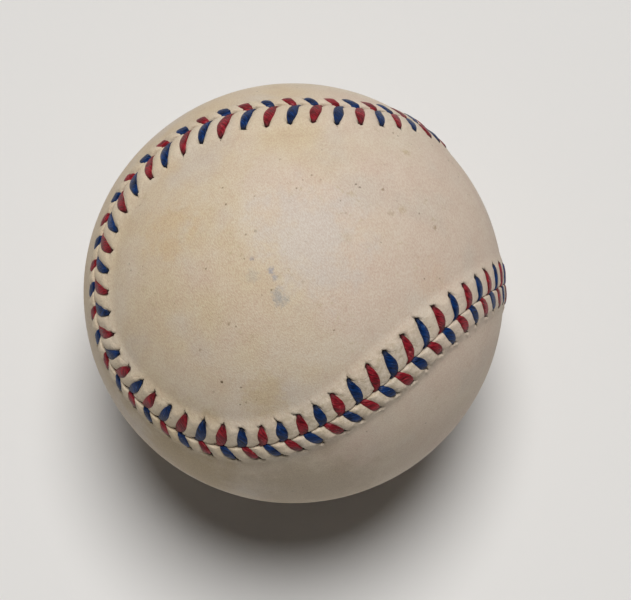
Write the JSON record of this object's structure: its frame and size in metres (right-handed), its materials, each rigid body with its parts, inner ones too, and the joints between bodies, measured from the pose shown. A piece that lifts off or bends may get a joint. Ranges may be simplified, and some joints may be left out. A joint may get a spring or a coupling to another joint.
{
  "type": "baseball",
  "caption": "Leather-covered ball with a raised figure-eight seam sewn in red and blue thread, over yarn windings and a cushioned cork core.",
  "frame": {"origin": "centre of the ball", "axes": "+X out of the middle of panel A's neck and -X out of panel B's neck, +Z through the middle of panel A's upper lobe, +Y through the middle of a lobe of panel B"},
  "size_m": [0.074, 0.0742, 0.0742],
  "materials": {
    "cork": "ground cork bound with rubber, speckled, matt",
    "black_rubber": "moulded, matt",
    "washer_rubber": "moulded, matt",
    "red_rubber": "moulded, matt",
    "grey_wool": "coarse four-ply wool yarn, wound",
    "white_wool": "three-ply wool yarn, wound",
    "fine_grey_wool": "three-ply wool yarn, wound",
    "cotton": "fine cotton yarn, wound",
    "cement": "thin dried rubber cement, slightly glossy",
    "cover_leather": "aged cream leather with a fine grain, stained and lightly scuffed, satin",
    "red_thread": "waxed twisted thread, crimson",
    "blue_thread": "waxed twisted thread, navy blue"
  },
  "bodies": {
    "root": {"cork_core": "cork", "black_shell_upper": "black_rubber", "black_shell_lower": "black_rubber", "core_washer": "washer_rubber", "red_rubber_layer": "red_rubber", "grey_wool_winding": "grey_wool", "white_wool_winding": "white_wool", "fine_wool_winding": "fine_grey_wool", "cotton_winding": "cotton", "cement_coat": "cement", "cover_panel_a": "cover_leather", "cover_panel_b": "cover_leather", "red_thread": "red_thread", "blue_thread": "blue_thread"}
  },
  "joints": []
}
